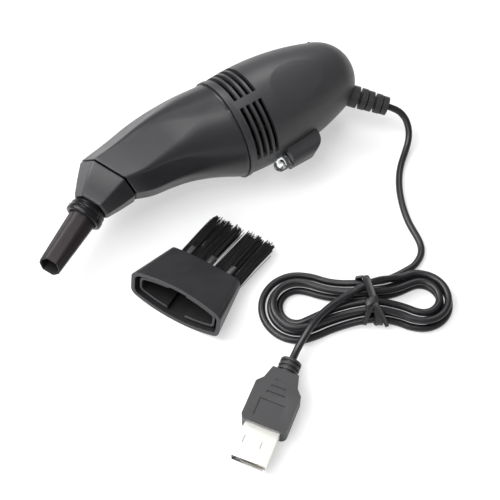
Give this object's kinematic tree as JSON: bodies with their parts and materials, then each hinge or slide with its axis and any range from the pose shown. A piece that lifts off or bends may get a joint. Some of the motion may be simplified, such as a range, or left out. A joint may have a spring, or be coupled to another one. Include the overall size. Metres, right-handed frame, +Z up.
{
  "type": "desktop mini vacuum cleaner",
  "caption": "Hand-held desk vacuum cleaner with faceted dust chamber, angled crevice tube, lamp pod, slide switch, tied USB lead and separate brush head",
  "frame": {"origin": "centre of the flat that the housing rests on, under the motor axis", "axes": "+X along the motor axis from the nozzle end to the rear, +Y to the convex back of the body, +Z up from the table"},
  "size_m": [0.1523, 0.1322, 0.0392],
  "materials": {
    "housing_upper": "glossy black moulding",
    "housing_lower": "glossy black moulding",
    "housing_screws": "zinc plated",
    "bulkhead": "satin black moulding",
    "filter_frame": "grey moulding",
    "filter_bag": "white filter cloth",
    "dust_chamber": "glossy black moulding",
    "nose_cone": "glossy black moulding",
    "nozzle_collar": "glossy black moulding",
    "crevice_tube": "satin black moulding",
    "motor_can": "plated steel",
    "motor_end_bell": "cream moulding",
    "motor_terminals": "stamped",
    "motor_magnets": "sintered ferrite",
    "rotor_core": "stacked sheet",
    "rotor_windings": "enamelled copper wire",
    "commutator": "turned copper",
    "motor_brushes": "carbon",
    "motor_shaft": "ground",
    "front_bush": "sintered bronze",
    "rear_bush": "sintered bronze",
    "motor_mount": "satin black moulding",
    "motor_screws": "zinc plated",
    "fan_impeller": "pale moulding",
    "switch_body": "stamped case",
    "switch_pins": "tinned",
    "switch_knob": "satin black moulding",
    "lamp_pod": "glossy black moulding",
    "lamp_led": "clear resin",
    "lamp_leads": "tinned wire",
    "lamp_resistor": "lacquered",
    "cord_boot": "moulded",
    "cord_entry": "smooth sheath",
    "cord_run": "smooth sheath",
    "cord_hank": "smooth sheath",
    "cord_tail": "smooth sheath",
    "cord_tie": "coated wire tie",
    "plug_overmold": "satin black moulding",
    "plug_shell": "plated shell",
    "plug_tongue": "white moulding",
    "plug_contacts": "gold plated",
    "brush_head": "satin black moulding",
    "brush_tufts": "nylon bristle"
  },
  "bodies": {
    "housing": {"housing_upper": "housing_upper", "housing_lower": "housing_lower", "housing_screws": "housing_screws", "bulkhead": "bulkhead", "motor_can": "motor_can", "motor_end_bell": "motor_end_bell", "motor_terminals": "motor_terminals", "motor_magnets": "motor_magnets", "motor_brushes": "motor_brushes", "front_bush": "front_bush", "rear_bush": "rear_bush", "motor_mount": "motor_mount", "motor_screws": "motor_screws", "switch_body": "switch_body", "switch_pins": "switch_pins", "lamp_pod": "lamp_pod", "lamp_led": "lamp_led", "lamp_leads": "lamp_leads", "lamp_resistor": "lamp_resistor", "cord_boot": "cord_boot", "cord_entry": "cord_entry", "cord_run": "cord_run", "cord_hank": "cord_hank", "cord_tail": "cord_tail", "cord_tie": "cord_tie", "plug_overmold": "plug_overmold", "plug_shell": "plug_shell", "plug_tongue": "plug_tongue", "plug_contacts": "plug_contacts"},
    "rotor": {"motor_shaft": "motor_shaft", "rotor_core": "rotor_core", "rotor_windings": "rotor_windings", "commutator": "commutator", "fan_impeller": "fan_impeller"},
    "switch": {"switch_knob": "switch_knob"},
    "chamber": {"dust_chamber": "dust_chamber", "nose_cone": "nose_cone", "nozzle_collar": "nozzle_collar"},
    "tube": {"crevice_tube": "crevice_tube"},
    "filter": {"filter_frame": "filter_frame", "filter_bag": "filter_bag"},
    "brush": {"brush_head": "brush_head", "brush_tufts": "brush_tufts"}
  },
  "joints": [
    {"name": "motor_spin", "type": "hinge", "parent": "housing", "child": "rotor", "pos_m": [0, 0, 0.0193], "axis": [1, 0, 0], "continuous": true},
    {"name": "power_switch", "type": "slide", "parent": "housing", "child": "switch", "axis": [-0.866, 0.4755, 0.1545], "range_m": [0, 0.0025]},
    {"name": "chamber_pull", "type": "slide", "parent": "housing", "child": "chamber", "axis": [-1, 0, 0], "range_m": [0, 0.02]},
    {"name": "tube_pull", "type": "slide", "parent": "chamber", "child": "tube", "axis": [-0.887, -0.4391, -0.1427], "range_m": [0, 0.01]},
    {"name": "filter_pull", "type": "slide", "parent": "housing", "child": "filter", "axis": [-1, 0, 0], "range_m": [0, 0.005]},
    {"name": "brush_lift", "type": "slide", "parent": "housing", "child": "brush", "axis": [0, 0, 1], "range_m": [0, 0.03]}
  ]
}
